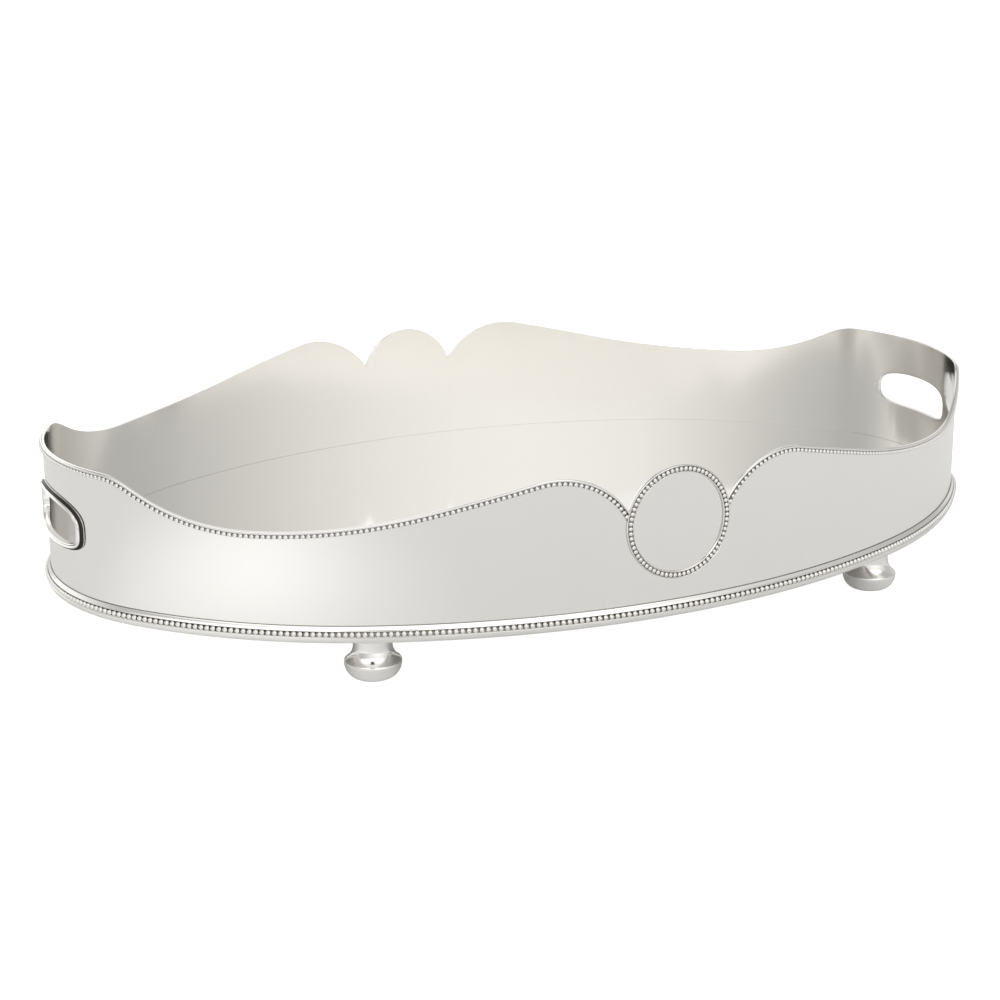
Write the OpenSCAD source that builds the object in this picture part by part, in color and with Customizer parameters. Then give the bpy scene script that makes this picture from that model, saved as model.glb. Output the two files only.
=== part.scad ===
// Oval gallery serving tray on four bun feet, in polished silver-plated brass.
// A flat floor carries an upright wall with a scalloped top, hand slots in both
// ends and a round medallion on each long side. Millimetres, +Z up. The origin
// is on the ground, under the middle of the tray, with the long axis along X.

/* [Plan] */
// Half of the gallery wall's length, to its outer face
wall_half_l = 280; // [276:0.5:284]
// Half of the gallery wall's width, to its outer face
wall_half_w = 178.7; // [176:0.1:181]
// Plan radius of the four quarters, between the side arcs and the end arcs
quarter_r = 252; // [246:1:258]
// Angle from the long axis where each end arc meets a quarter arc
end_turn = 37.3; // [36:0.1:38.5]
// Angle from the long axis where each quarter arc meets a side arc
side_turn = 66.1; // [65:0.1:67]
// Straight steps that stand for each of the plan's arcs
arc_steps = 10; // [8:1:12]

/* [Heights] */
// Height of the serving floor above the ground
floor_z = 32; // [30:0.5:36]
// Thickness of the floor sheet
floor_t = 1.3; // [1:0.1:2]
// Thickness of the gallery wall sheet
wall_t = 1.3; // [1:0.1:1.6]

/* [Gallery top edge] */
// Distance along the wall from the medallion's middle to the shoulder's crest
shoulder_s = 67.6; // [64:0.2:72]
// Height of the shoulder's crest above the floor
shoulder_h = 71.3; // [69:0.1:74]
// Radius of the shoulder's crest
shoulder_r = 46; // [43:0.5:49]
// Steepest fall after the shoulder, in degrees
fall_angle = 12.6; // [12:0.1:13.5]
// Radius of the long hollow before the lowest point
hollow_r = 430; // [400:5:440]
// Height of the lowest point above the floor
low_h = 48.4; // [47:0.1:50]
// Radius of the sweep that climbs to the handle end
sweep_r = 138; // [130:1:145]
// Steepest rise towards the handle end, in degrees
rise_angle = 25.4; // [24.5:0.1:26.5]
// Radius that rounds the climb into the level end
crest_r = 40; // [36:1:44]
// Height of the level handle end above the floor
end_h = 69.8; // [69:0.1:72]

/* [Medallions] */
// Outer radius of the beaded ring, and of the wall's lobe behind it
medallion_r = 30.3; // [29.5:0.1:31]
// Height of the medallion's middle above the floor
medallion_h = 41.5; // [40.5:0.1:42.5]
// Width of the ring
medallion_band = 4; // [3:0.1:5]

/* [Beaded edge] */
// Height of the beaded strip outside the wall's top edge
rim_h = 3.4; // [2.5:0.1:4]
// How far the rim strip and the rings stand out from the wall
rim_proud = 1.9; // [1.5:0.1:2.5]

/* [Handle slots] */
// Half of the clear slot's length
slot_half_l = 34.4; // [32:0.2:36]
// Height of the slot's widest line above the floor
slot_mid_h = 35.5; // [35:0.1:36.5]
// Clear slot above its widest line
slot_up = 11; // [10:0.1:12]
// Clear slot below its widest line
slot_down = 10.5; // [9.5:0.1:11]
// Squareness of the slot above its widest line, where 2 is an ellipse
slot_top_power = 2.6; // [2.2:0.1:3]
// Squareness of the slot below its widest line
slot_low_power = 4; // [3:0.5:5]
// Thickness of the bezel's lip, which lines the slot
lip_t = 1; // [0.8:0.1:1.5]
// Width of the bezel's face at its two ends
bezel_band_end = 4.2; // [3.5:0.1:5]
// Width of the bezel's face above and below the slot
bezel_band = 3.2; // [2.5:0.1:4]
// How far the bezel stands out from the wall
bezel_proud = 2.8; // [2.2:0.1:3.2]

/* [Base moulding] */
// Depth of the moulding below the floor's top
skirt_h = 8.5; // [8:0.1:9.5]
// How far the bead row stands out from the wall
bead_proud = 3.5; // [3.3:0.1:3.8]
// Height of the bead row
bead_h = 2.6; // [2.2:0.1:2.8]
// Depth of the bead row's middle below the floor's top
bead_drop = 3.8; // [3.6:0.1:4]
// Distance from the wall's face to the channel behind the beads
channel_off = 0.9; // [0.8:0.1:1.2]
// How far the sloping ledge above the beads stands out
ledge_proud = 1.6; // [1.4:0.1:1.9]
// How far the band below the beads stands out
skirt_proud = 3; // [2.8:0.1:3.1]
// Width of the rounding under that band
skirt_soft = 1.2; // [1:0.1:1.5]

/* [Feet] */
// Distance of the feet from the short axis
foot_x = 152; // [148:1:156]
// Distance of the feet from the long axis
foot_y = 133; // [130:1:135]
// Largest radius of a foot
foot_r = 14.9; // [14:0.1:15.5]
// Height of the foot's widest line
foot_edge_z = 8.5; // [8:0.1:9]
// Radius of the flat that the foot stands on
foot_flat_r = 8; // [7:0.1:9]
// Radius of the foot's neck
neck_r = 10.1; // [9.5:0.1:10.5]
// Height where the neck starts to flare
neck_z = 17.5; // [16.5:0.1:18.5]
// Distance from the foot's widest line in to the flare's edge
lip_in = 0.5; // [0.3:0.1:0.8]
// Height of the flare's edge above the foot's widest line
lip_rise = 1; // [0.8:0.1:1.2]
// Radius of the collar between foot and base
collar_r = 10.9; // [10.6:0.1:11.5]
// Thickness of the collar
collar_t = 2.6; // [2:0.1:3]
// Radius of the threaded pad under the floor
pad_r = 12; // [11.5:0.1:13]
// Radius of the foot's stud, an M5 thread
stud_r = 2.5; // [2:0.5:3]
// Height of the stud's lower end, inside the foot
stud_z = 12; // [11:0.5:14]
// Height of the stud's upper end, inside the pad
stud_top = 29; // [28:0.5:29.5]

/* [Hidden] */
$fn = 180;

// Radii of the side and end arcs that make the whole plan smooth
span_l = wall_half_l - quarter_r * (cos(end_turn) - cos(side_turn));
span_w = wall_half_w - quarter_r * (sin(side_turn) - sin(end_turn));
det = (1 - cos(end_turn)) * (1 - sin(side_turn)) - cos(side_turn) * sin(end_turn);
end_r = (span_l * (1 - sin(side_turn)) - cos(side_turn) * span_w) / det;
side_r = ((1 - cos(end_turn)) * span_w - sin(end_turn) * span_l) / det;

// Centres of the arcs in the first quarter
end_cx = wall_half_l - end_r;
side_cy = wall_half_w - side_r;
quarter_cx = end_cx + (end_r - quarter_r) * cos(end_turn);
quarter_cy = (end_r - quarter_r) * sin(end_turn);

// One arc of the plan is [centre x, centre y, radius, first angle, last angle]
QUARTER = [
    [end_cx, 0, end_r, 0, end_turn],
    [quarter_cx, quarter_cy, quarter_r, end_turn, side_turn],
    [0, side_cy, side_r, side_turn, 90]
];

// Levels of the base and the feet
floor_under = floor_z - floor_t;
skirt_z = floor_z - skirt_h;
neck_top = skirt_z - collar_t;

// Silver plate, its polished floor and the bare brass under the tray
silver = [0.84, 0.83, 0.81];
bright = [0.92, 0.91, 0.89];
brass = [0.79, 0.66, 0.38];

// Sizes of shapes that only cut: one larger than the tray, one taller than the wall
far = 400;
headroom = 90;

// Length that one shape runs into or past another, so that they join or cut cleanly
overlap = 0.01;

// Levels and corners of the bead row
bead_low = floor_z - bead_drop - bead_h / 2;
bead_top = bead_low + bead_h;
bead_soft = 0.6;
lip_gap = 0.4;
ledge_start = 0.2;

// Steps of the shoulder, hollow, sweep and crest, and the angle where the shoulder starts
shoulder_steps = 16;
hollow_steps = 12;
sweep_steps = 8;
crest_steps = 6;
shoulder_start = 175;

// Degrees between the slot's points, and steps of the foot's bowl and of its flare
slot_step = 6;
foot_steps = 9;

// --- Plan ---------------------------------------------------------------

// Points of the plan at a distance from the wall's outer face, anticlockwise
function quarter_plan(off) = [
    for (arc = QUARTER) for (i = [0 : arc_steps - 1])
        let (a = arc[3] + (arc[4] - arc[3]) * i / arc_steps)
        [arc[0] + (arc[2] + off) * cos(a), arc[1] + (arc[2] + off) * sin(a)]
];

function half_plan(off) =
    let (q = quarter_plan(off))
    concat(q, [[0, wall_half_w + off]], [for (i = [len(q) - 1 : -1 : 1]) [-q[i][0], q[i][1]]]);

function plan(off) = concat(half_plan(off), -half_plan(off));

// An upright band between two distances from the wall's outer face
module band(inner, outer, low, high) {
    translate([0, 0, low])
        linear_extrude(height = high - low)
            difference() {
                polygon(plan(outer));
                polygon(plan(inner));
            }
}

// A moulding: each profile point is [distance from the wall's face, height]
module moulding(profile) {
    rings = [for (p = profile) [for (q = plan(p[0])) [q[0], q[1], p[1]]]];
    turns = len(rings[0]);
    rows = len(profile);
    points = [for (ring = rings) each ring];
    faces = [
        for (k = [0 : rows - 1]) for (i = [0 : turns - 1])
            let (up = (k + 1) % rows, on = (i + 1) % turns)
            each [
                [k * turns + i, up * turns + i, up * turns + on],
                [k * turns + i, up * turns + on, k * turns + on]
            ]
    ];
    polyhedron(points, faces, convexity = 6);
}

// Where a length along the wall, from the medallion's middle, lies along X
side_len = side_r * (90 - side_turn) * PI / 180;
quarter_len = quarter_r * (side_turn - end_turn) * PI / 180;

function turned(length, radius) = length / radius * 180 / PI;

function along_x(s) =
    s < side_len ? side_r * cos(90 - turned(s, side_r))
    : s < side_len + quarter_len ? quarter_cx + quarter_r * cos(side_turn - turned(s - side_len, quarter_r))
    : end_cx + end_r * cos(end_turn - turned(s - side_len - quarter_len, end_r));

// --- Gallery top edge: arcs joined by straight runs ----------------------

arcs_drop = (shoulder_r + hollow_r) * (1 - cos(fall_angle));
fall_run = (shoulder_h - low_h - arcs_drop) / sin(fall_angle);
low_s = shoulder_s + (shoulder_r + hollow_r) * sin(fall_angle) + fall_run * cos(fall_angle);
arcs_climb = (sweep_r + crest_r) * (1 - cos(rise_angle));
rise_run = (end_h - low_h - arcs_climb) / sin(rise_angle);
level_s = low_s + (sweep_r + crest_r) * sin(rise_angle) + rise_run * cos(rise_angle);

function arc_points(s, h, radius, from, to, steps) = [
    for (i = [0 : steps])
        let (a = from + (to - from) * i / steps)
        [s + radius * cos(a), h + radius * sin(a)]
];

// The edge from the medallion to the level end, lowered by a depth square to it
function edge_line(depth) = concat(
    arc_points(shoulder_s, shoulder_h - shoulder_r, shoulder_r - depth,
        shoulder_start, 90 - fall_angle, shoulder_steps),
    arc_points(low_s, low_h + hollow_r, hollow_r + depth, 270 - fall_angle, 270, hollow_steps),
    arc_points(low_s, low_h + sweep_r, sweep_r + depth, 270, 270 + rise_angle, sweep_steps),
    arc_points(level_s, end_h - crest_r, crest_r - depth, 90 + rise_angle, 90, crest_steps)
);

function edge_in_place(depth) = [for (p = edge_line(depth)) [along_x(p[0]), floor_z + p[1]]];

// The upright outline under the edge, from the medallion to past the end
module side_outline(depth) {
    line = edge_in_place(depth);
    inner_x = line[0][0];
    polygon(concat(
        [[0, -far], [0, line[0][1]]],
        line,
        [[far, floor_z + end_h - depth], [far, -far]]
    ));
}

// The wall's outline as seen from the side, without the medallion's lobe
module gallery_outline() {
    right = concat(edge_in_place(0), [[far, floor_z + end_h], [far, -far]]);
    left = [for (i = [len(right) - 1 : -1 : 0]) [-right[i][0], right[i][1]]];
    polygon(concat(left, right));
}

module along_y() {
    rotate([90, 0, 0]) linear_extrude(height = far, center = true) children();
}

module medallion_plug(radius) {
    translate([0, 0, floor_z + medallion_h])
        rotate([90, 0, 0])
            cylinder(h = far, r = radius, center = true);
}

// --- Handle slot ---------------------------------------------------------

// A slot with a rounder top than bottom, as [along Y, height] points
function slot_line(half_l, up, down, mid) = [
    for (a = [0 : slot_step : 360 - slot_step])
        let (power = 2 / (a <= 180 ? slot_top_power : slot_low_power), reach = a <= 180 ? up : down)
        [half_l * sign(cos(a)) * pow(abs(cos(a)), power),
         floor_z + mid + reach * sign(sin(a)) * pow(abs(sin(a)), power)]
];

module slot_prism(grow) {
    rotate([90, 0, 90])
        linear_extrude(height = 2 * far, center = true)
            polygon(slot_line(slot_half_l + grow, slot_up + grow, slot_down + grow, slot_mid_h));
}

module bezel_prism() {
    rotate([90, 0, 90])
        linear_extrude(height = 2 * far, center = true)
            polygon(slot_line(slot_half_l + bezel_band_end, slot_up + bezel_band,
                slot_down + bezel_band, slot_mid_h));
}

// --- Sheet pieces ----------------------------------------------------------

module floor_plate() {
    color(bright)
        translate([0, 0, floor_under])
            linear_extrude(height = floor_t)
                polygon(plan(0));
}

module gallery_half() {
    color(silver)
        difference() {
            intersection() {
                band(-wall_t, 0, floor_z, floor_z + headroom);
                union() {
                    along_y() gallery_outline();
                    medallion_plug(medallion_r);
                }
                translate([-far, 0, 0]) cube([2 * far, far, far]);
            }
            slot_prism(lip_t);
        }
}

module gallery_back() {
    gallery_half();
}

module gallery_front() {
    mirror([0, 1, 0]) gallery_half();
}

// --- Mouldings and beading ---------------------------------------------------

module base_moulding() {
    color(silver)
        moulding([
            [0, floor_under], [-wall_t, floor_under], [-wall_t, skirt_z],
            [skirt_proud - skirt_soft, skirt_z], [skirt_proud, skirt_z + skirt_soft],
            [skirt_proud, bead_low - lip_gap], [channel_off, bead_low],
            [channel_off, bead_top], [ledge_proud, bead_top + lip_gap],
            [ledge_start, floor_z], [0, floor_z]
        ]);
}

module base_beading() {
    color(silver)
        moulding([
            [channel_off, bead_top], [channel_off, bead_low],
            [bead_proud - bead_soft, bead_low], [bead_proud, bead_low + bead_soft],
            [bead_proud, bead_top - bead_soft], [bead_proud - bead_soft, bead_top]
        ]);
}

// The strip below the right half's top edge, stopping at the medallion rings
module rim_strip() {
    color(silver)
        difference() {
            intersection() {
                band(0, rim_proud, floor_z, floor_z + headroom);
                along_y()
                    difference() {
                        side_outline(0);
                        side_outline(rim_h);
                    }
            }
            medallion_plug(medallion_r);
        }
}

module rim_beading_right() {
    rim_strip();
}

module rim_beading_left() {
    mirror([1, 0, 0]) rim_strip();
}

module medallion_ring() {
    color(silver)
        difference() {
            intersection() {
                band(0, rim_proud, floor_z, floor_z + headroom);
                medallion_plug(medallion_r);
                translate([-far, 0, 0]) cube([2 * far, far, far]);
            }
            medallion_plug(medallion_r - medallion_band);
        }
}

module medallion_ring_back() {
    medallion_ring();
}

module medallion_ring_front() {
    mirror([0, 1, 0]) medallion_ring();
}

// A face ring outside the wall, with a lip that lines the slot
module handle_bezel() {
    color(silver)
        intersection() {
            difference() {
                union() {
                    intersection() {
                        band(0, bezel_proud, floor_z, floor_z + headroom);
                        bezel_prism();
                    }
                    intersection() {
                        band(-wall_t, overlap, floor_z, floor_z + headroom);
                        slot_prism(lip_t);
                    }
                }
                slot_prism(0);
            }
            translate([0, -far, 0]) cube([far, 2 * far, far]);
        }
}

module handle_bezel_right() {
    handle_bezel();
}

module handle_bezel_left() {
    mirror([1, 0, 0]) handle_bezel();
}

// --- Feet ------------------------------------------------------------------

// Places a piece over one foot; the signs choose the corner
module at_foot(along, across) {
    translate([along * foot_x, across * foot_y, 0]) children();
}

// Bowl below, hollow flare above, up to the neck
module foot() {
    lip_r = foot_r - lip_in;
    lip_z = foot_edge_z + lip_rise;
    bowl = [
        for (i = [0 : foot_steps])
            let (a = 90 * i / foot_steps)
            [foot_flat_r + (foot_r - foot_flat_r) * sin(a), foot_edge_z * (1 - cos(a))]
    ];
    slant = 2 * atan2(lip_r - neck_r, neck_z - lip_z);
    hollow_foot = (neck_z - lip_z) / sin(slant);
    flare = [
        for (i = [0 : foot_steps])
            let (a = slant * (1 - i / foot_steps))
            [neck_r + hollow_foot * (1 - cos(a)), neck_z - hollow_foot * sin(a)]
    ];
    color(silver)
        difference() {
            rotate_extrude()
                polygon(concat([[0, 0]], bowl, flare, [[neck_r, neck_top], [0, neck_top]]));
            translate([0, 0, stud_z]) cylinder(h = far, r = stud_r);
        }
}

module collar() {
    color(silver)
        translate([0, 0, neck_top])
            difference() {
                cylinder(h = collar_t, r = collar_r);
                translate([0, 0, -overlap]) cylinder(h = collar_t + 2 * overlap, r = stud_r);
            }
}

module pad() {
    color(brass)
        difference() {
            translate([0, 0, skirt_z]) cylinder(h = floor_under - skirt_z, r = pad_r);
            translate([0, 0, stud_z]) cylinder(h = stud_top - stud_z, r = stud_r);
        }
}

module foot_front_left() { at_foot(-1, -1) foot(); }
module foot_front_right() { at_foot(1, -1) foot(); }
module foot_back_left() { at_foot(-1, 1) foot(); }
module foot_back_right() { at_foot(1, 1) foot(); }

module collar_front_left() { at_foot(-1, -1) collar(); }
module collar_front_right() { at_foot(1, -1) collar(); }
module collar_back_left() { at_foot(-1, 1) collar(); }
module collar_back_right() { at_foot(1, 1) collar(); }

module pad_front_left() { at_foot(-1, -1) pad(); }
module pad_front_right() { at_foot(1, -1) pad(); }
module pad_back_left() { at_foot(-1, 1) pad(); }
module pad_back_right() { at_foot(1, 1) pad(); }

module foot_studs() {
    color(brass)
        for (along = [-1, 1]) for (across = [-1, 1])
            at_foot(along, across)
                translate([0, 0, stud_z])
                    cylinder(h = stud_top - stud_z, r = stud_r);
}

floor_plate();
gallery_front();
gallery_back();
base_moulding();
base_beading();
rim_beading_left();
rim_beading_right();
medallion_ring_front();
medallion_ring_back();
handle_bezel_left();
handle_bezel_right();
foot_front_left();
foot_front_right();
foot_back_left();
foot_back_right();
collar_front_left();
collar_front_right();
collar_back_left();
collar_back_right();
pad_front_left();
pad_front_right();
pad_back_left();
pad_back_right();
foot_studs();
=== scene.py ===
"""Looks of an oval gallery serving tray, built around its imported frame.

The tray is polished silver plate: a flat floor inside an upright wall with a scalloped
top, beaded trim, a round medallion on each long side, a bezelled slot in each end and
four turned feet. Lengths are metres, with +Z up and the tray's long axis along X.
"""

import logging
import math
from contextlib import contextmanager
from dataclasses import dataclass
from enum import Enum
from typing import Callable, Iterator

import bmesh
import bpy
import numpy as np
from mathutils import Matrix, Vector


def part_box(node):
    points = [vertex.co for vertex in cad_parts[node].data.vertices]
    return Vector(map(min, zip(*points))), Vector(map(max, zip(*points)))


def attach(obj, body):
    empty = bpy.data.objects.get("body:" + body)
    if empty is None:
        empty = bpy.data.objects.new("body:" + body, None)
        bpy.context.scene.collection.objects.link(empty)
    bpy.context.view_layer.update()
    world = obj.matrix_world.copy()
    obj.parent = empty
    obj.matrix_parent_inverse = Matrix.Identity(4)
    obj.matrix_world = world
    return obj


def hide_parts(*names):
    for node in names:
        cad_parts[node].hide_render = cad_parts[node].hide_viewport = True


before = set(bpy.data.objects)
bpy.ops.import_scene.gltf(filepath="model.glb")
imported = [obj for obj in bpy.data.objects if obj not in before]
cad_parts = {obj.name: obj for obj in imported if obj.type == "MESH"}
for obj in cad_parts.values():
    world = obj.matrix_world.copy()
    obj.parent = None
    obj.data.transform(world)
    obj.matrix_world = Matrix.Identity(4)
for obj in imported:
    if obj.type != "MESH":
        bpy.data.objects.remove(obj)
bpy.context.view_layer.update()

LOG = logging.getLogger("serving_tray")
MM = 0.001
BODY = "root"
WELD = 1e-6
Point = tuple[float, float, float]
Section = list[tuple[float, float]]
Ramp = tuple[float, float]

# Edges that turn by fewer degrees than these are shaded smooth
SHEET_CREASE = 8
BAND_CREASE = 40
TRIM_CREASE = 50
TURNED_CREASE = 35
THREAD_CREASE = 20

# Edges that turn by more degrees than this are a sheet's cut edges
CUT_EDGE = 60

# Sizes in millimetres that several sections share
WALL_T = 1.3
BEZEL_ENDS, BEZEL_BAND, BEZEL_LIP = 4.2, 3.2, 1.0

# Height of the hand slots' middle above the floor, in millimetres
SLOT_H = 35.5


class Facing(Enum):
    """A side of the tray, by where its middle lies along the plan."""

    RIGHT = 0
    BACK = 1
    LEFT = 2
    FRONT = 3


class Slot(Enum):
    """The record's material slots."""

    FLOOR = "floor_silver"
    WALL = "wall_silver"
    MOULDING = "moulding_silver"
    BEADED = "beaded_silver"
    TURNED = "turned_silver"
    BRASS = "bare_brass"


# --- The bench: small steps that every piece is made with ----------------------------


def only(piece: bpy.types.Object) -> None:
    """Makes a piece the only selected one, and the active one."""
    bpy.ops.object.select_all(action="DESELECT")
    piece.select_set(True)
    bpy.context.view_layer.objects.active = piece


@contextmanager
def editing(piece: bpy.types.Object) -> Iterator[None]:
    """Opens a piece in edit mode with nothing selected, and closes it afterwards.

    Args:
        piece: The mesh piece to edit.
    """
    only(piece)
    bpy.ops.object.mode_set(mode="EDIT")
    bpy.ops.mesh.select_mode(type="VERT")
    bpy.ops.mesh.select_all(action="DESELECT")
    yield
    bpy.ops.object.mode_set(mode="OBJECT")


def pick(piece: bpy.types.Object, test: Callable[[Vector], bool]) -> int:
    """Selects the vertices whose place passes a test, and nothing else.

    Args:
        piece: The piece, open in edit mode.
        test: Says from a place whether its vertex is wanted.

    Returns:
        How many vertices are selected.
    """
    bpy.ops.mesh.select_all(action="DESELECT")
    mesh = bmesh.from_edit_mesh(piece.data)
    found = [v for v in mesh.verts if test(v.co)]
    for vertex in found:
        vertex.select = True
    mesh.select_flush(True)
    bmesh.update_edit_mesh(piece.data)
    return len(found)


def place_selected(piece: bpy.types.Object, places: list[Vector]) -> None:
    """Moves the selected vertices to new places, in the order that they were made.

    Args:
        piece: The piece, open in edit mode.
        places: One place for each selected vertex.
    """
    mesh = bmesh.from_edit_mesh(piece.data)
    chosen = [v for v in mesh.verts if v.select]
    for vertex, place in zip(chosen, places, strict=True):
        vertex.co = place
    bmesh.update_edit_mesh(piece.data)


def settle(piece: bpy.types.Object) -> None:
    """Puts a piece's place, turn and size into its mesh."""
    only(piece)
    bpy.ops.object.transform_apply(location=True, rotation=True, scale=True)


def weld(piece: bpy.types.Object, close: bool = True) -> None:
    """Merges doubled vertices, closes open ends and turns all faces outwards.

    Args:
        piece: The piece, in object mode.
        close: Whether open loops are filled with a face.
    """
    with editing(piece):
        bpy.ops.mesh.select_all(action="SELECT")
        bpy.ops.mesh.remove_doubles(threshold=WELD)
        if close:
            bpy.ops.mesh.fill_holes(sides=0)
            bpy.ops.mesh.select_all(action="SELECT")
        bpy.ops.mesh.normals_make_consistent(inside=False)


def smooth(piece: bpy.types.Object, degrees: float) -> None:
    """Shades a piece smooth, apart from edges sharper than an angle."""
    only(piece)
    bpy.ops.object.shade_smooth_by_angle(angle=math.radians(degrees), keep_sharp_edges=False)


def draw_chain(name: str, points: list[Vector], closed: bool) -> bpy.types.Object:
    """Draws a section by extruding one vertex from point to point.

    Args:
        name: The new piece's name.
        points: The section's corners, in order.
        closed: Whether the last point is joined to the first.

    Returns:
        The piece, a chain of edges.
    """
    bpy.ops.object.select_all(action="DESELECT")
    bpy.ops.mesh.primitive_plane_add(size=MM, location=points[0])
    piece = bpy.context.object
    piece.name = piece.data.name = name
    settle(piece)
    with editing(piece):
        bpy.ops.mesh.select_all(action="SELECT")
        bpy.ops.mesh.merge(type="CENTER")
        for here, there in zip(points, points[1:]):
            bpy.ops.mesh.extrude_region_move(TRANSFORM_OT_translate={"value": there - here})
        if closed:
            ends = (points[0], points[-1])
            pick(piece, lambda co: any((co - end).length < WELD for end in ends))
            bpy.ops.mesh.edge_face_add()
    return piece


def note(piece: bpy.types.Object, name: str, value: Callable[[Vector], float]) -> None:
    """Writes a number from 0 to 1 on every vertex, for a material to read.

    Args:
        piece: The piece, in object mode.
        name: The attribute's name.
        value: Gives the number from a vertex's place.
    """
    marks = piece.data.attributes.get(name) or piece.data.attributes.new(name, "FLOAT", "POINT")
    marks.data.foreach_set("value", [min(1.0, max(0.0, value(v.co))) for v in piece.data.vertices])


def copy_to(name: str, model: bpy.types.Object, places: list[Matrix]) -> bpy.types.Object:
    """Copies a modelled shape to many places, as one piece with its own mesh.

    Args:
        name: The new piece's name.
        model: The shape, modelled once at the origin. It stays as it is.
        places: Where each copy goes.

    Returns:
        The new piece.
    """
    count = len(model.data.vertices)
    corners = np.array([v.co for v in model.data.vertices], float).reshape(-1, 3)
    faces = [tuple(f.vertices) for f in model.data.polygons]
    all_corners, all_faces = [], []
    for number, place in enumerate(places):
        turn = np.array(place.to_3x3(), float)
        all_corners.append(corners @ turn.T + np.array(place.translation, float))
        all_faces += [tuple(number * count + corner for corner in face) for face in faces]
    mesh = bpy.data.meshes.new(name)
    mesh.from_pydata(np.concatenate(all_corners).tolist(), [], all_faces)
    for marks in model.data.attributes:
        if marks.data_type == "FLOAT" and marks.domain == "POINT":
            values = [marks.data[i].value for i in range(count)]
            copied = mesh.attributes.new(marks.name, "FLOAT", "POINT")
            copied.data.foreach_set("value", values * len(places))
    piece = bpy.data.objects.new(name, mesh)
    bpy.context.scene.collection.objects.link(piece)
    only(piece)
    bpy.ops.object.shade_smooth()
    return piece


# --- The plan and the wall's top edge --------------------------------------------------


@dataclass(frozen=True)
class Arc:
    """One arc of the plan's first quarter, anticlockwise, with angles in radians."""

    cx: float
    cy: float
    radius: float
    start: float
    end: float

    @property
    def length(self) -> float:
        """Length along the arc."""
        return self.radius * (self.end - self.start)


@dataclass(frozen=True)
class Turn:
    """One pass of the spin tool round an arc's centre."""

    centre: Point
    angle: float
    steps: int


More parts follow.
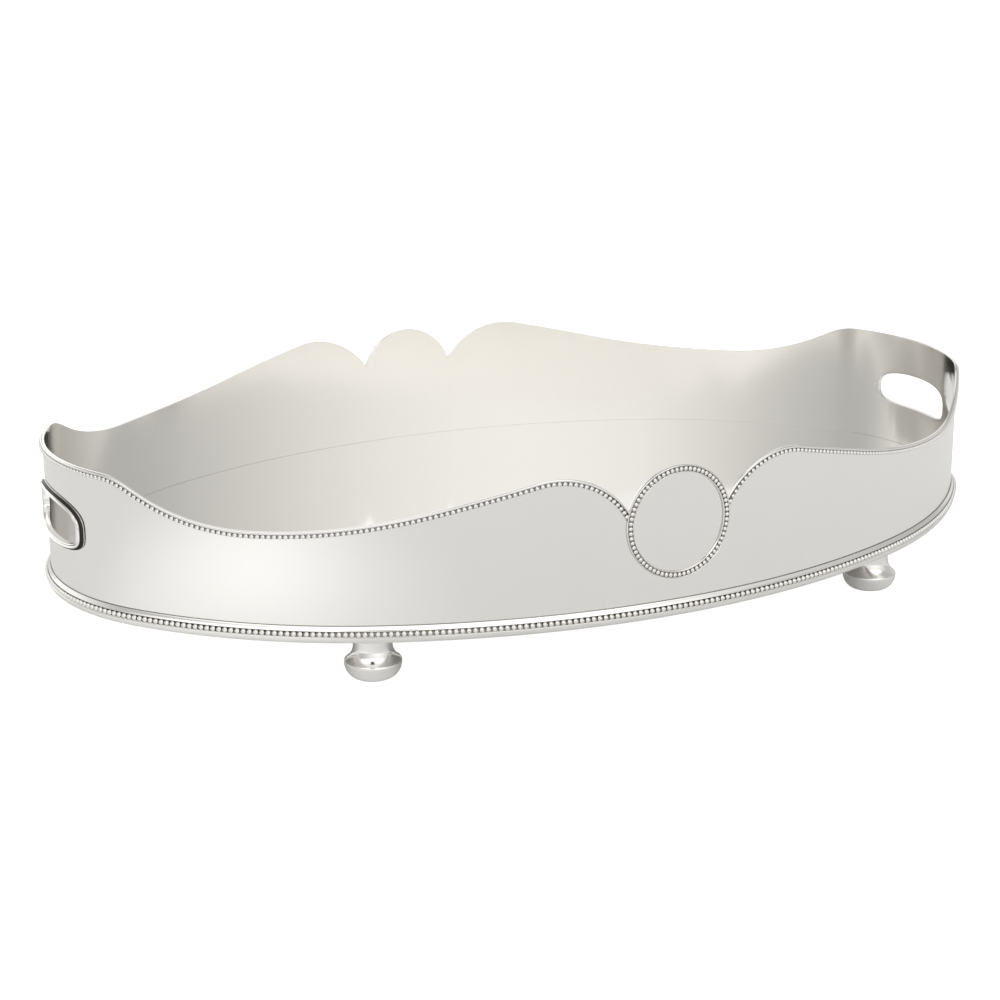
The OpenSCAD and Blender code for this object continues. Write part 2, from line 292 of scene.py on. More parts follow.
@dataclass(frozen=True)
class Plan:
    """The smooth oval that the wall's outer face follows.

    A station is a distance along the wall from the middle of the right end,
    anticlockwise. The middles of the back, the left end and the front lie one, two
    and three quarters on.
    """

    half_l: float
    half_w: float
    quarter_r: float = 252 * MM
    end_turn: float = math.radians(37.3)
    side_turn: float = math.radians(66.1)

    @property
    def arcs(self) -> tuple[Arc, Arc, Arc]:
        """End, quarter and side arcs, which meet tangent to each other."""
        ce, se = math.cos(self.end_turn), math.sin(self.end_turn)
        cs, ss = math.cos(self.side_turn), math.sin(self.side_turn)
        span_l = self.half_l - self.quarter_r * (ce - cs)
        span_w = self.half_w - self.quarter_r * (ss - se)
        det = (1 - ce) * (1 - ss) - cs * se
        end_r = (span_l * (1 - ss) - cs * span_w) / det
        side_r = ((1 - ce) * span_w - se * span_l) / det
        end_cx, side_cy = self.half_l - end_r, self.half_w - side_r
        quarter_cx = end_cx + (end_r - self.quarter_r) * ce
        quarter_cy = (end_r - self.quarter_r) * se
        return (
            Arc(end_cx, 0.0, end_r, 0.0, self.end_turn),
            Arc(quarter_cx, quarter_cy, self.quarter_r, self.end_turn, self.side_turn),
            Arc(0.0, side_cy, side_r, self.side_turn, math.pi / 2),
        )

    @property
    def quarter(self) -> float:
        """Length of a quarter of the wall."""
        return sum(arc.length for arc in self.arcs)

    def middle(self, facing: Facing) -> float:
        """Station of the middle of one side."""
        return facing.value * self.quarter

    def folded(self, station: float) -> tuple[float, int, int]:
        """A station folded into the first quarter, with the signs of its X and Y."""
        count, along = divmod(station, self.quarter)
        number = int(count) % 4
        if number % 2:
            along = self.quarter - along
        return along, (1, -1, -1, 1)[number], (1, 1, -1, -1)[number]

    def place(self, station: float, off: float, z: float) -> Vector:
        """Point at a station, a distance outside the wall's face, and a height."""
        along, sign_x, sign_y = self.folded(station)
        for arc in self.arcs:
            if along <= arc.length + WELD:
                break
            along -= arc.length
        angle = arc.start + along / arc.radius
        x = arc.cx + (arc.radius + off) * math.cos(angle)
        y = arc.cy + (arc.radius + off) * math.sin(angle)
        return Vector((sign_x * x, sign_y * y, z))

    def outward(self, station: float) -> Vector:
        """Level direction straight out of the wall at a station."""
        return (self.place(station, 1.0, 0.0) - self.place(station, 0.0, 0.0)).normalized()

    def from_end(self, at: Vector) -> float:
        """Distance along the wall from the nearer end's middle to a point beside it."""
        x, y = abs(at.x), abs(at.y)
        passed = 0.0
        for arc in self.arcs:
            angle = math.atan2(y - arc.cy, x - arc.cx)
            if angle <= arc.end or arc is self.arcs[-1]:
                break
            passed += arc.length
        return passed + (angle - arc.start) * arc.radius

    def turns(self, first: float, last: float, grading: list[tuple[float, float]]) -> list[Turn]:
        """Spins that carry a section from one station on to another.

        Args:
            first: Station where the section is.
            last: Station where it ends, past the first one.
            grading: Pairs of a distance from the end's middle and the longest step up
                to there. The last pair reaches the quarter's length.

        Returns:
            The spins, in order.
        """
        spans = []
        limits = [0.0] + [limit for limit, _ in grading]
        for number in range(int(first // self.quarter), int(math.ceil(last / self.quarter))):
            passed = 0.0
            for arc in self.arcs:
                cuts = [passed] + [c for c in limits if passed < c < passed + arc.length]
                cuts.append(passed + arc.length)
                for near, far in zip(cuts, cuts[1:]):
                    step = next(s for limit, s in grading if far <= limit + WELD)
                    base = number * self.quarter
                    low, high = base + near, base + far
                    if number % 2:
                        low, high = base + self.quarter - far, base + self.quarter - near
                    low, high = max(low, first), min(high, last)
                    if high - low > WELD:
                        spans.append((low, high, arc, step, number % 4))
                passed += arc.length
        made = []
        for low, high, arc, step, number in sorted(spans, key=lambda span: span[0]):
            sign_x, sign_y = (1, -1, -1, 1)[number], (1, 1, -1, -1)[number]
            steps = max(1, math.ceil((high - low) / step))
            centre = (sign_x * arc.cx, sign_y * arc.cy, 0.0)
            made.append(Turn(centre, (high - low) / arc.radius, steps))
        return made

    def carry(self, piece: bpy.types.Object, turns: list[Turn]) -> None:
        """Spins a section round the plan.

        Args:
            piece: The section, drawn at the first spin's start.
            turns: The spins.
        """
        with editing(piece):
            bpy.ops.mesh.select_all(action="SELECT")
            for turn in turns:
                bpy.ops.mesh.spin(
                    steps=turn.steps, angle=turn.angle, center=turn.centre, axis=(0, 0, -1)
                )

    def wrap(self, piece: bpy.types.Object, facing: Facing) -> None:
        """Bends a piece made flat, facing -Y, on to the wall's face.

        Args:
            piece: The flat piece: X along the wall, -Y out of it, Z up.
            facing: The side that it goes on.
        """
        middle = self.middle(facing)
        radius = self.arcs[0 if facing in (Facing.LEFT, Facing.RIGHT) else 2].radius
        for vertex in piece.data.vertices:
            x, y, z = vertex.co
            vertex.co = self.place(middle + radius * math.asin(x / radius), -y, z)
        piece.data.update()

    def frame_at(self, station: float, off: float, z: float) -> Matrix:
        """Place for a copy beside the wall: X along the wall, -Y out of it.

        Args:
            station: Where along the wall.
            off: Distance outside the wall's face.
            z: Height.

        Returns:
            The place as a matrix.
        """
        out = self.outward(station)
        along, up = Vector((-out.y, out.x, 0.0)), Vector((0.0, 0.0, 1.0))
        turned = Matrix((along, -out, up)).transposed().to_4x4()
        return Matrix.Translation(self.place(station, off, z)) @ turned


@dataclass(frozen=True)
class TopEdge:
    """Height of the wall's top edge above the floor, and of lines below it.

    Distances run along the wall from the medallion's middle.
    """

    shoulder_s: float = 67.6 * MM
    shoulder_h: float = 71.3 * MM
    shoulder_r: float = 46 * MM
    fall: float = math.radians(12.6)
    hollow_r: float = 430 * MM
    low_h: float = 48.4 * MM
    sweep_r: float = 138 * MM
    rise: float = math.radians(25.4)
    crest_r: float = 40 * MM
    end_h: float = 69.8 * MM
    medallion_r: float = 30.3 * MM
    medallion_h: float = 41.5 * MM

    @property
    def low_s(self) -> float:
        """Distance of the lowest point from the medallion."""
        radii = self.shoulder_r + self.hollow_r
        drop = radii * (1 - math.cos(self.fall))
        run = (self.shoulder_h - self.low_h - drop) / math.sin(self.fall)
        return self.shoulder_s + radii * math.sin(self.fall) + run * math.cos(self.fall)

    @property
    def level_s(self) -> float:
        """Distance from the medallion to where the edge is level again."""
        radii = self.sweep_r + self.crest_r
        climb = radii * (1 - math.cos(self.rise))
        run = (self.end_h - self.low_h - climb) / math.sin(self.rise)
        return self.low_s + radii * math.sin(self.rise) + run * math.cos(self.rise)

    @property
    def notch_s(self) -> float:
        """Distance from the medallion's middle to the notch beside its lobe."""
        low, high = 0.0, self.medallion_r
        for _ in range(60):
            middle = (low + high) / 2
            if self.lobe(middle) > self.line(middle, 0.0):
                low = middle
            else:
                high = middle
        return low

    def lobe(self, s: float) -> float:
        """Height of the round lobe behind the medallion."""
        return self.medallion_h + math.sqrt(max(0.0, self.medallion_r**2 - s**2))

    def line(self, s: float, depth: float) -> float:
        """Height of the line that runs a depth below the edge, square to it.

        Args:
            s: Distance from the medallion's middle.
            depth: Depth below the edge.

        Returns:
            The line's height above the floor.
        """
        crown, brow = self.shoulder_r - depth, self.crest_r - depth
        hollow, sweep = self.hollow_r + depth, self.sweep_r + depth
        crown_h, hollow_h = self.shoulder_h - self.shoulder_r, self.low_h + self.hollow_r
        sweep_h, brow_h = self.low_h + self.sweep_r, self.end_h - self.crest_r
        if s >= self.level_s:
            return self.end_h - depth
        if s >= self.level_s - brow * math.sin(self.rise):
            return brow_h + math.sqrt(brow**2 - (s - self.level_s) ** 2)
        if s >= self.low_s + sweep * math.sin(self.rise):
            past = s - self.low_s - sweep * math.sin(self.rise)
            return sweep_h - sweep * math.cos(self.rise) + past * math.tan(self.rise)
        if s >= self.low_s:
            return sweep_h - math.sqrt(sweep**2 - (s - self.low_s) ** 2)
        if s >= self.low_s - hollow * math.sin(self.fall):
            return hollow_h - math.sqrt(hollow**2 - (s - self.low_s) ** 2)
        if s >= self.shoulder_s + crown * math.sin(self.fall):
            past = s - self.shoulder_s - crown * math.sin(self.fall)
            return crown_h + crown * math.cos(self.fall) - past * math.tan(self.fall)
        return crown_h + math.sqrt(max(0.0, crown**2 - (s - self.shoulder_s) ** 2))

    def top(self, s: float) -> float:
        """Height of the wall itself, lobe included."""
        return self.lobe(s) if s < self.notch_s else self.line(s, 0.0)


@dataclass(frozen=True)
class BeadSize:
    """Half sizes of a bead: along its row, out of the wall and across the row."""

    along: float
    out: float
    across: float

    @property
    def matrix(self) -> Matrix:
        """Scales a bead of radius 1 to this size."""
        return Matrix.Diagonal((self.along, self.out, self.across, 1.0))


@dataclass(frozen=True)
class HandSlot:
    """A slot outline with a rounder top than bottom, about its widest line."""

    half_l: float
    up: float
    down: float
    middle_z: float
    top_power: float = 2.6
    low_power: float = 4.0

    def grown(self, ends: float, band: float) -> "HandSlot":
        """The same outline made larger at its ends, and above and below."""
        half_l, up, down = self.half_l + ends, self.up + band, self.down + band
        return HandSlot(half_l, up, down, self.middle_z, self.top_power, self.low_power)

    def top_at(self, x: float) -> float:
        """Height of the outline above a distance from its middle."""
        share = min(1.0, abs(x) / self.half_l)
        reach = (1 - share**self.top_power) ** (1 / self.top_power)
        return self.middle_z + self.up * reach

    def low_at(self, x: float) -> float:
        """Height of the outline below a distance from its middle."""
        share = min(1.0, abs(x) / self.half_l)
        reach = (1 - share**self.low_power) ** (1 / self.low_power)
        return self.middle_z - self.down * reach

    def outline(self, count: int) -> list[tuple[float, float]]:
        """Points round the slot, evenly spaced over its top and over its bottom.

        Args:
            count: How many points, half of them over the top.

        Returns:
            Pairs of a distance along the wall and a height, anticlockwise from +X.
        """
        fine = 720
        made = []
        for start, reach, power in (
            (0.0, self.up, self.top_power),
            (math.pi, self.down, self.low_power),
        ):
            angles = np.linspace(start, start + math.pi, fine)
            cos, sin = np.cos(angles), np.sin(angles)
            x = self.half_l * np.sign(cos) * np.abs(cos) ** (2 / power)
            z = self.middle_z + reach * np.sign(sin) * np.abs(sin) ** (2 / power)
            gone = np.concatenate([[0.0], np.cumsum(np.hypot(np.diff(x), np.diff(z)))])
            wanted = np.linspace(0.0, gone[-1], count // 2 + 1)[:-1]
            made += zip(np.interp(wanted, gone, x).tolist(), np.interp(wanted, gone, z).tolist())
        return made


# --- Finishes ---------------------------------------------------------------------------


def group(name: str, inputs: dict[str, object], outputs: dict[str, str]) -> bpy.types.NodeTree:
    """Makes an empty shader node group with named sockets.

    Args:
        name: The group's name.
        inputs: Each input's name and its default: a number, a colour or None for a vector.
        outputs: Each output's name and its socket type.

    Returns:
        The group, with its input and output nodes named "in" and "out".
    """
    tree = bpy.data.node_groups.new(name, "ShaderNodeTree")
    for label, default in inputs.items():
        kind = "NodeSocketFloat" if isinstance(default, float) else "NodeSocketColor"
        kind = "NodeSocketVector" if default is None else kind
        socket = tree.interface.new_socket(name=label, in_out="INPUT", socket_type=kind)
        if default is not None:
            socket.default_value = default
    for label, kind in outputs.items():
        tree.interface.new_socket(name=label, in_out="OUTPUT", socket_type=kind)
    tree.nodes.new("NodeGroupInput").name = "in"
    tree.nodes.new("NodeGroupOutput").name = "out"
    return tree


def math_node(tree: bpy.types.NodeTree, operation: str, first: object, second: object) -> object:
    """Adds a math node and returns its result.

    Args:
        tree: The tree that it goes in.
        operation: The node's operation.
        first: A socket or a number.
        second: A socket or a number.

    Returns:
        The output socket.
    """
    node = tree.nodes.new("ShaderNodeMath")
    node.operation = operation
    for socket, value in zip(node.inputs[:2], (first, second), strict=True):
        if isinstance(value, (int, float)):
            socket.default_value = value
        else:
            tree.links.new(value, socket)
    return node.outputs[0]


def noise_node(
    tree: bpy.types.NodeTree, vector: object, scale: Point, detail: float
) -> object:
    """Adds a noise texture, stretched by a scale for each axis.

    Args:
        tree: The tree that it goes in.
        vector: Socket with the place.
        scale: Waves per metre along X, Y and Z.
        detail: How many finer layers it has.

    Returns:
        The noise's socket, from 0 to 1.
    """
    mapping = tree.nodes.new("ShaderNodeMapping")
    mapping.inputs["Scale"].default_value = scale
    noise = tree.nodes.new("ShaderNodeTexNoise")
    noise.inputs["Scale"].default_value = 1.0
    noise.inputs["Detail"].default_value = detail
    tree.links.new(vector, mapping.inputs["Vector"])
    tree.links.new(mapping.outputs[0], noise.inputs["Vector"])
    return noise.outputs["Fac"]


def polish_group() -> bpy.types.NodeTree:
    """Marks of hand polishing: fine upright lines, soft wipes and a slow wave in the sheet.

    Returns:
        The group. Lines and Wipes are about 0.5 on average, and Wave is a height.
    """
    tree = group(
        "hand_polish",
        {"Vector": None},
        {"Lines": "NodeSocketFloat", "Wipes": "NodeSocketFloat", "Wave": "NodeSocketFloat"},
    )
    place, out = tree.nodes["in"].outputs["Vector"], tree.nodes["out"]
    waves_per_metre = {"Lines": (900, 900, 14), "Wipes": (22, 22, 9), "Wave": (11, 11, 4)}
    for (label, scale), detail in zip(waves_per_metre.items(), (4.0, 3.0, 1.0), strict=True):
        tree.links.new(noise_node(tree, place, scale, detail), out.inputs[label])
    return tree


def tarnish_and_shade_group() -> bpy.types.NodeTree:
    """Darkens silver with tarnish where a hollow keeps the polishing cloth away, and with painted
    shade there as well.

    Returns:
        The group. Its mask runs from 0, polished, to 1, black with tarnish and painted shade.
    """
    tree = group(
        "tarnish",
        {
            "Silver": (0.8, 0.8, 0.8, 1.0),
            "Tarnish": (0.05, 0.045, 0.04, 1.0),
            "Recess": 0.0,
            "Wipes": 0.5,
            "Roughness": 0.1,
            "Dullness": 0.35,
        },
        {"Color": "NodeSocketColor", "Roughness": "NodeSocketFloat"},
    )
    inside, out = tree.nodes["in"].outputs, tree.nodes["out"]
    wipe_effect, plain = 0.5, 0.75
    uneven = math_node(tree, "MULTIPLY_ADD", inside["Wipes"], wipe_effect)
    uneven.node.inputs[2].default_value = plain
    # Mask of tarnish and painted shade, made uneven by the wipes
    mask = math_node(tree, "MULTIPLY", inside["Recess"], uneven)
    mask.node.use_clamp = True
    mix = tree.nodes.new("ShaderNodeMix")
    mix.data_type = "RGBA"
    tree.links.new(mask, mix.inputs["Factor"])
    tree.links.new(inside["Silver"], mix.inputs["A"])
    tree.links.new(inside["Tarnish"], mix.inputs["B"])
    tree.links.new(mix.outputs["Result"], out.inputs["Color"])
    spread = math_node(tree, "MULTIPLY", mask, inside["Dullness"])
    tree.links.new(math_node(tree, "ADD", inside["Roughness"], spread), out.inputs["Roughness"])
    return tree


@dataclass(frozen=True)
class MetalFinish:
    """A polished metal with marks of hand work, and tarnish and painted shade where a piece has
    hollows.
    """

    name: str
    tint: Point
    roughness: float = 0.10
    line_spread: float = 0.05
    wipe_spread: float = 0.04
    tone_spread: float = 0.05
    wave_depth: float = 0.02 * MM
    # Dark colour of the tarnish and painted shade
    tarnish: Point = (0.05, 0.045, 0.04)
    tarnish_and_shade_marked: bool = False

    def material(self) -> bpy.types.Material:
        """Builds the material, or returns it if it is already made."""
        made = bpy.data.materials.get(self.name)
        if made:
            return made
        made = bpy.data.materials.new(self.name)
        made.use_nodes = True
        tree = made.node_tree
        shader = tree.nodes["Principled BSDF"]
        shader.inputs["Metallic"].default_value = 1.0
        place = tree.nodes.new("ShaderNodeTexCoord").outputs["Object"]
        polish = tree.nodes.new("ShaderNodeGroup")
        polish.node_tree = bpy.data.node_groups.get("hand_polish") or polish_group()
        tree.links.new(place, polish.inputs["Vector"])
        lines, wipes = polish.outputs["Lines"], polish.outputs["Wipes"]
        rough = math_node(tree, "MULTIPLY", lines, self.line_spread)
        rough = math_node(tree, "ADD", rough, math_node(tree, "MULTIPLY", wipes, self.wipe_spread))
        average = (self.line_spread + self.wipe_spread) / 2
        rough = math_node(tree, "ADD", rough, self.roughness - average)
        tones = tree.nodes.new("ShaderNodeMix")
        tones.data_type = "RGBA"
        low = tuple(c * (1 - self.tone_spread) for c in self.tint)
        high = tuple(min(1.0, c * (1 + self.tone_spread)) for c in self.tint)
        tones.inputs["A"].default_value = (*low, 1.0)
        tones.inputs["B"].default_value = (*high, 1.0)
        tree.links.new(wipes, tones.inputs["Factor"])
        colour = tones.outputs["Result"]
        # Tarnish and painted shade, by the mask that the piece carries
        if self.tarnish_and_shade_marked:
            dark = tree.nodes.new("ShaderNodeGroup")
            dark.node_tree = bpy.data.node_groups.get("tarnish") or tarnish_and_shade_group()
            dark.inputs["Tarnish"].default_value = (*self.tarnish, 1.0)
            mark = tree.nodes.new("ShaderNodeAttribute")
            mark.attribute_name = "recess"
            tree.links.new(mark.outputs["Fac"], dark.inputs["Recess"])
            tree.links.new(wipes, dark.inputs["Wipes"])
            tree.links.new(colour, dark.inputs["Silver"])
            tree.links.new(rough, dark.inputs["Roughness"])
            colour, rough = dark.outputs["Color"], dark.outputs["Roughness"]
        tree.links.new(colour, shader.inputs["Base Color"])
        tree.links.new(rough, shader.inputs["Roughness"])
        bump = tree.nodes.new("ShaderNodeBump")
        bump.inputs["Strength"].default_value = 1.0
        bump.inputs["Distance"].default_value = self.wave_depth
        tree.links.new(polish.outputs["Wave"], bump.inputs["Height"])
        tree.links.new(bump.outputs["Normal"], shader.inputs["Normal"])
        return made


MIRROR = MetalFinish("mirror_floor", (0.88, 0.87, 0.845), 0.09, 0.03, 0.03, 0.012, 0.02 * MM)
SHEET = MetalFinish("polished_sheet", (0.88, 0.87, 0.845), 0.13, 0.05, 0.05, 0.015, 0.02 * MM)
TRIM = MetalFinish("polished_trim", (0.87, 0.86, 0.84), 0.12, tarnish_and_shade_marked=True)
BEADS = MetalFinish("polished_beads", (0.90, 0.885, 0.865), 0.12, tarnish_and_shade_marked=True)
TURNED = MetalFinish("turned_silver", (0.82, 0.80, 0.76), 0.06, 0.02, 0.02, tarnish_and_shade_marked=True)
BRASS = MetalFinish("bare_brass", (0.60, 0.44, 0.20), 0.32, 0.12, 0.08, 0.12, tarnish_and_shade_marked=True)


def dress(piece: bpy.types.Object, finish: MetalFinish, slot: Slot, *nodes: str) -> None:
    """Gives a piece its finish, ties it to the frame and reports it.

    Args:
        piece: The finished piece.
        finish: Its metal.
        slot: The record's material slot. Not used.
        nodes: The frame's nodes that it stands for.
    """
    piece.data.materials.clear()
    piece.data.materials.append(finish.material())
    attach(piece, BODY)
    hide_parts(*nodes)
    LOG.info("%s: %d faces, %s", piece.name, len(piece.data.polygons), finish.name)


# --- Sub-assemblies ----------------------------------------------------------------------


@dataclass
class Floor:
    """The flat floor sheet that the whole tray is built on."""

    plan: Plan
    top_z: float
    thickness: float
    step: float = 2.5 * MM
    edge_break: float = 0.3 * MM

    def build(self) -> None:
        """Spins the outline, fills it, and gives it the sheet's thickness."""
        start = self.plan.place(0.0, 0.0, self.top_z)
        piece = draw_chain("serving_floor", [start], closed=False)
        grading = [(self.plan.quarter, self.step)]
        self.plan.carry(piece, self.plan.turns(0.0, 4 * self.plan.quarter, grading))
        with editing(piece):
            bpy.ops.mesh.select_all(action="SELECT")
            bpy.ops.mesh.remove_doubles(threshold=WELD)
            bpy.ops.mesh.edge_face_add()
            down = Vector((0.0, 0.0, -self.thickness))
            bpy.ops.mesh.extrude_region_move(TRANSFORM_OT_translate={"value": down})
            bpy.ops.mesh.select_all(action="SELECT")
            bpy.ops.mesh.normals_make_consistent(inside=False)
            bpy.ops.mesh.select_mode(type="EDGE")
            bpy.ops.mesh.select_all(action="DESELECT")
            bpy.ops.mesh.edges_select_sharp(sharpness=math.radians(CUT_EDGE))
            bpy.ops.mesh.bevel(offset=self.edge_break, segments=2, affect="EDGES")
        smooth(piece, SHEET_CREASE)
        dress(piece, MIRROR, Slot.FLOOR, "floor_plate")


@dataclass
class Gallery:
    """The upright wall, bent from two sheets that meet at the handle ends."""

    plan: Plan
    edge: TopEdge
    slot: HandSlot
    floor_z: float
    thickness: float = WALL_T * MM
    slit: float = 0.5 * MM
    edge_break: float = 0.28 * MM
    joint_break: float = 0.17 * MM

    def grading(self) -> list[tuple[float, float]]:
        """Steps along the wall: short at the seam, the slot's end and the medallion."""
        radius = self.plan.arcs[0].radius
        slot_end = radius * math.asin(self.slot.half_l / radius)
        near_end, notch = slot_end - 4 * MM, self.plan.quarter - self.edge.notch_s
        return [
            (0.4 * MM, 0.4 * MM),
            (near_end, 2.0 * MM),
            (slot_end - 1.2 * MM, 0.7 * MM),
            (slot_end, 0.2 * MM),
            (self.plan.arcs[0].length, 2.0 * MM),
            (self.plan.quarter - 72 * MM, 2.8 * MM),
            (notch - 6 * MM, 1.3 * MM),
            (notch, 0.6 * MM),
            (notch + 6 * MM, 0.6 * MM),
            (self.plan.quarter, 1.2 * MM),
        ]

    def lift(self, piece: bpy.types.Object, reference: float) -> None:
        """Raises the top row to the scalloped edge, and opens the slot's outline.

        Args:
            piece: The spun sheet.
            reference: Height that the top row was spun at.
        """
        middle = self.slot.middle_z
        for vertex in piece.data.vertices:
            z = vertex.co.z
            if abs(z - reference) < WELD:
                s = self.plan.quarter - self.plan.from_end(vertex.co)
                vertex.co.z = self.floor_z + self.edge.top(s)
            elif abs(abs(z - middle) - self.slit) < WELD and self.over_slot(vertex.co):
                if z > middle:
                    vertex.co.z = max(z, self.slot.top_at(vertex.co.y))
                else:
                    vertex.co.z = min(z, self.slot.low_at(vertex.co.y))
        piece.data.update()

    def over_slot(self, at: Vector) -> bool:
        """Whether a place on the wall lies within the slot's length."""
        return abs(at.x) > self.plan.arcs[0].cx and abs(at.y) < self.slot.half_l + WELD

    def build_half(self, name: str, first: float, node: str) -> None:
        """Spins one sheet's outer face, cuts the slots and gives it its thickness.

        Args:
            name: The piece's name.
            first: Station where the sheet starts.
            node: The frame's node that it stands for.
        """
        reference = self.floor_z + self.edge.low_h
        middle = self.slot.middle_z
        rows = (self.floor_z, middle - self.slit, middle + self.slit, reference)
        start = [self.plan.place(first, 0.0, z) for z in rows]
        piece = draw_chain(name, start, closed=False)
        last = first + 2 * self.plan.quarter
        self.plan.carry(piece, self.plan.turns(first, last, self.grading()))
        with editing(piece):
            bpy.ops.mesh.select_mode(type="FACE")
            mesh = bmesh.from_edit_mesh(piece.data)
            for face in mesh.faces:
                at = face.calc_center_median()
                between = abs(at.z - middle) < self.slit
                face.select = between and self.over_slot(at)
            bmesh.update_edit_mesh(piece.data)
            bpy.ops.mesh.delete(type="FACE")
        self.lift(piece, reference)
        with editing(piece):
            bpy.ops.mesh.select_all(action="SELECT")
            bpy.ops.mesh.normals_make_consistent(inside=False)
        self.face_out(piece)
        sheet = piece.modifiers.new("sheet", "SOLIDIFY")
        sheet.thickness = self.thickness
        sheet.offset = -1.0
        sheet.use_even_offset = True
        only(piece)
        bpy.ops.object.modifier_apply(modifier=sheet.name)
        self.break_edges(piece, self.edge_break, lambda z: z > self.floor_z + MM)
        self.break_edges(piece, self.joint_break, lambda z: z < self.floor_z + MM)
        smooth(piece, SHEET_CREASE)
        dress(piece, SHEET, Slot.WALL, node)

    def face_out(self, piece: bpy.types.Object) -> None:
        """Flips the open sheet if its faces point at the tray's middle."""
        face = piece.data.polygons[0]
        if face.normal.dot(Vector((face.center.x, face.center.y, 0.0))) < 0:
            with editing(piece):
                bpy.ops.mesh.select_all(action="SELECT")
                bpy.ops.mesh.flip_normals()

    def break_edges(
        self, piece: bpy.types.Object, size: float, wanted: Callable[[float], bool]
    ) -> None:
        """Rounds the sheet's cut edges, apart from the seams where the halves meet.

        Args:
            piece: The sheet.
            size: Width of the rounding.
            wanted: Says from an edge's height whether it is rounded.
        """
        with editing(piece):
            bpy.ops.mesh.select_mode(type="EDGE")
            bpy.ops.mesh.edges_select_sharp(sharpness=math.radians(CUT_EDGE))
            mesh = bmesh.from_edit_mesh(piece.data)
            for edge in mesh.edges:
                in_seam = all(abs(v.co.y) < self.edge_break for v in edge.verts)
                if in_seam or not all(wanted(v.co.z) for v in edge.verts):
                    edge.select = False
            bmesh.update_edit_mesh(piece.data)
            bpy.ops.mesh.bevel(offset=size, segments=3, affect="EDGES")

    def build(self) -> None:
        """Builds the back and the front sheet."""
        self.build_half("gallery_sheet_back", 0.0, "gallery_back")
        self.build_half("gallery_sheet_front", 2 * self.plan.quarter, "gallery_front")


@dataclass
class BaseMoulding:
    """The moulding that wraps the floor's edge, and the row of beads set in it."""

    plan: Plan
    floor_z: float
    proud: float
    step: float = 3.0 * MM
    bead_pitch: float = 3.27 * MM
    bead: BeadSize = BeadSize(1.5 * MM, 1.35 * MM, 1.3 * MM)
    bead_drop: float = 3.8 * MM

    def section(self) -> Section:
        """The moulding's section, as distances outside the wall and below the floor."""
        millimetres = [
            (-WALL_T, 8.5), (-WALL_T, 1.3), (0.0, 1.3), (0.0, 0.0), (0.22, 0.0), (0.3, 0.15),
            (0.48, 0.4), (0.8, 1.1), (1.15, 1.8), (1.4, 2.15), (1.55, 2.35), (1.6, 2.48),
            (1.5, 2.58), (1.2, 2.65), (0.95, 2.95), (0.85, 3.6), (1.0, 4.5), (1.5, 4.9),
            (2.3, 5.0), (2.75, 5.15), (3.0, 5.45), (2.98, 6.1), (2.8, 6.9), (2.5, 7.6),
            (2.15, 8.15), (1.9, 8.4), (1.7, 8.5),
        ]
        return [(off * MM, drop * MM) for off, drop in millimetres]

    def recess(self, at: Vector) -> float:
        """How much the moulding darkens at a place: tarnish and painted shade in the channel behind
        the beads, and a dark line along its joint with the wall.
        """
        drop = self.floor_z - at.z
        off = (at - self.plan.place(self.plan.from_end(at), 0.0, at.z)).length
        channel_off, channel_top, channel_low, fade = 1.8 * MM, 2.5 * MM, 5.0 * MM, 3.0 * MM
        joint_off, joint_low = 0.5 * MM, 0.3 * MM
        if off < channel_off and channel_top < drop < channel_low:
            return 0.9 - (drop - channel_top) / fade
        return 0.8 if drop < joint_low and off < joint_off else 0.0

    def build(self) -> None:
        """Spins the moulding round the plan and sets the beads in it."""
        quarter = self.plan.quarter
        points = [self.plan.place(0.0, off, self.floor_z - drop) for off, drop in self.section()]
        piece = draw_chain("base_moulding_band", points, closed=True)
        self.plan.carry(piece, self.plan.turns(0.0, 4 * quarter, [(quarter, self.step)]))
        weld(piece, close=False)
        mark = self.recess
        note(piece, "recess", lambda co: mark(Vector((abs(co.x), abs(co.y), co.z))))
        smooth(piece, BAND_CREASE)
        dress(piece, TRIM, Slot.MOULDING, "base_moulding")

    def string_beads(self, bead: bpy.types.Object) -> None:
        """Sets the row of beads in the moulding's channel.

        Args:
            bead: The bead, a unit across its radius.
        """
        around = 4 * self.plan.quarter
        off, z = self.proud - self.bead.out, self.floor_z - self.bead_drop
        count = round((around + 2 * math.pi * off) / self.bead_pitch)
        size = self.bead.matrix
        places = [self.plan.frame_at(around * i / count, off, z) @ size for i in range(count)]
        row = copy_to("base_bead_row", bead, places)
        dress(row, BEADS, Slot.BEADED, "base_beading")


